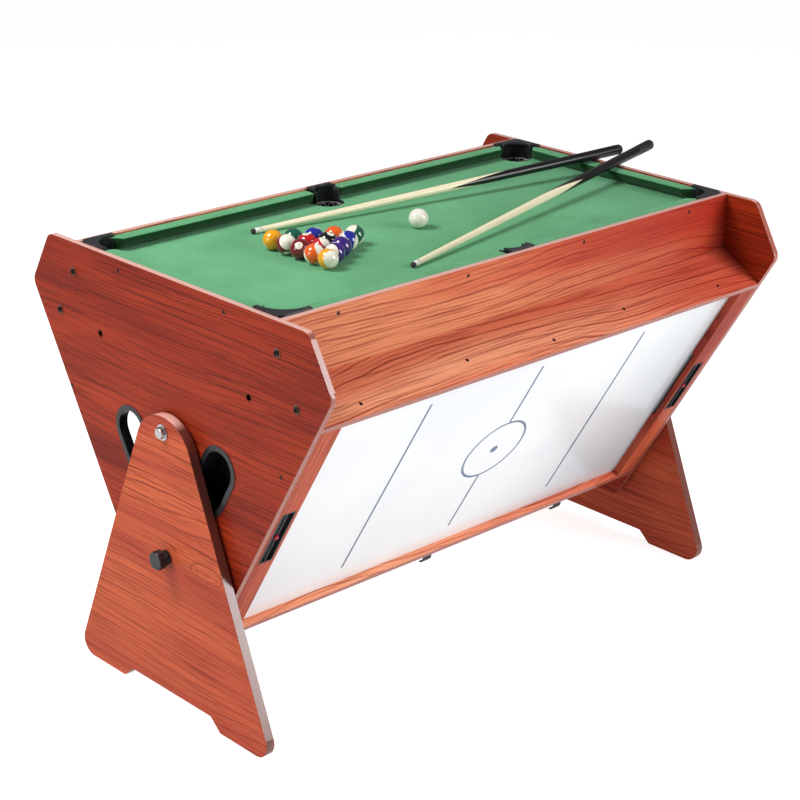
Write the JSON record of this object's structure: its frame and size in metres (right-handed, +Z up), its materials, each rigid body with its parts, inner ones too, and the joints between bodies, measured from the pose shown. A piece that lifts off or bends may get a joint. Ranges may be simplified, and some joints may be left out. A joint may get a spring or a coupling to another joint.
{
  "type": "rotating game table",
  "caption": "Three-sided games cabinet turning on a pivot between two A-shaped legs, with pool on top, a hockey field and a football pitch.",
  "frame": {"origin": "on the floor, at the middle of the whole box including the overhanging cue; the pivot axis is 547.5 mm above it, and the cabinet's own middle is 41.5 mm towards -X", "axes": "+X along the cabinet towards the end that the cue butts hang over, -Y towards the side with the hockey field, +Z up"},
  "size_m": [1.357, 0.8368, 0.8521],
  "materials": {
    "cherry_panel": "satin wood print",
    "cherry_leg": "satin wood print",
    "cherry_rail": "satin wood print",
    "raw_board": "raw fibreboard",
    "softwood": "sawn",
    "green_cloth": "napped cloth",
    "cushion_cloth": "cloth over rubber",
    "black_plastic": "moulded",
    "net_cord": "knotted cord",
    "white_sheet": "smooth laminate",
    "pitch_sheet": "smooth laminate",
    "bright_steel": "zinc plated",
    "dark_steel": "black oxide",
    "brown_plastic": "moulded",
    "nylon": "moulded",
    "red_plastic": "moulded",
    "ball_white": "polished resin",
    "ball_colours": "polished resin, mixed colours",
    "maple": "varnished",
    "cue_black": "lacquered"
  },
  "bodies": {
    "stand": {"leg_left": "cherry_leg", "leg_right": "cherry_leg", "pivot_bolts": "bright_steel", "pivot_nuts": "bright_steel", "lock_guides": "dark_steel"},
    "cabinet": {"end_panel_left": "cherry_panel", "end_panel_right": "cherry_panel", "pool_rail_front": "cherry_rail", "pool_rail_back": "cherry_rail", "hockey_rail_upper": "cherry_rail", "hockey_rail_lower": "cherry_rail", "football_rail_upper": "cherry_rail", "football_rail_lower": "cherry_rail", "fold_cleats": "softwood", "bed_battens": "softwood", "pivot_bushes": "nylon", "index_bushes": "dark_steel", "cue_clips": "black_plastic", "pool_bed": "raw_board", "pool_cloth": "green_cloth", "corner_pockets": "black_plastic", "side_pockets": "black_plastic", "pocket_nets": "net_cord", "hockey_bed": "raw_board", "football_bed": "raw_board", "football_end_walls": "cherry_panel", "hockey_sheet": "white_sheet", "football_sheet": "pitch_sheet", "hockey_end_rail_left": "cherry_rail", "hockey_end_rail_right": "cherry_rail", "football_end_rail_left": "cherry_rail", "football_end_rail_right": "cherry_rail", "score_trays": "black_plastic", "score_rods": "bright_steel", "goal_cups": "black_plastic", "goal_rings": "black_plastic", "rail_bolts": "dark_steel", "bolt_rings": "brown_plastic", "panel_screws": "dark_steel", "board_screws": "dark_steel", "cushion_front_left": "cushion_cloth", "cushion_front_right": "cushion_cloth", "cushion_back_left": "cushion_cloth", "cushion_back_right": "cushion_cloth", "cushion_end_left": "cushion_cloth", "cushion_end_right": "cushion_cloth"},
    "lock_left": {"lock_pin_left": "bright_steel", "lock_knob_left": "black_plastic"},
    "lock_right": {"lock_pin_right": "bright_steel", "lock_knob_right": "black_plastic"},
    "hockey_marker_left": {"hockey_marker_left": "red_plastic"},
    "hockey_marker_right": {"hockey_marker_right": "red_plastic"},
    "football_marker_left": {"football_marker_left": "red_plastic"},
    "football_marker_right": {"football_marker_right": "red_plastic"},
    "cue_ball": {"cue_ball": "ball_white"},
    "racked_balls": {"racked_balls": "ball_colours"},
    "cue_1": {"cue_1_shaft": "maple", "cue_1_butt": "cue_black"},
    "cue_2": {"cue_2_shaft": "maple", "cue_2_butt": "cue_black"}
  },
  "joints": [
    {"name": "cabinet_turn", "type": "hinge", "parent": "stand", "child": "cabinet", "pos_m": [0, 0, 0.5475], "axis": [1, 0, 0], "range_deg": [-120, 120]},
    {"name": "lock_left_slide", "type": "slide", "parent": "stand", "child": "lock_left", "axis": [1, 0, 0], "range_m": [0, 0.0085]},
    {"name": "lock_right_slide", "type": "slide", "parent": "stand", "child": "lock_right", "axis": [-1, 0, 0], "range_m": [0, 0.0085]},
    {"name": "hockey_score_left", "type": "slide", "parent": "cabinet", "child": "hockey_marker_left", "axis": [0, -0.5, 0.866], "range_m": [-0.06, 0.06]},
    {"name": "hockey_score_right", "type": "slide", "parent": "cabinet", "child": "hockey_marker_right", "axis": [0, -0.5, 0.866], "range_m": [-0.06, 0.06]},
    {"name": "football_score_left", "type": "slide", "parent": "cabinet", "child": "football_marker_left", "axis": [0, -0.5, -0.866], "range_m": [-0.06, 0.06]},
    {"name": "football_score_right", "type": "slide", "parent": "cabinet", "child": "football_marker_right", "axis": [0, -0.5, -0.866], "range_m": [-0.06, 0.06]},
    {"name": "cue_ball_lift", "type": "slide", "parent": "cabinet", "child": "cue_ball", "axis": [0, 0, 1], "range_m": [0, 0.1]},
    {"name": "racked_balls_lift", "type": "slide", "parent": "cabinet", "child": "racked_balls", "axis": [0, 0, 1], "range_m": [0, 0.1]},
    {"name": "cue_1_lift", "type": "slide", "parent": "cabinet", "child": "cue_1", "axis": [0, 0, 1], "range_m": [0, 0.1]},
    {"name": "cue_2_lift", "type": "slide", "parent": "cabinet", "child": "cue_2", "axis": [0, 0, 1], "range_m": [0, 0.1]}
  ]
}
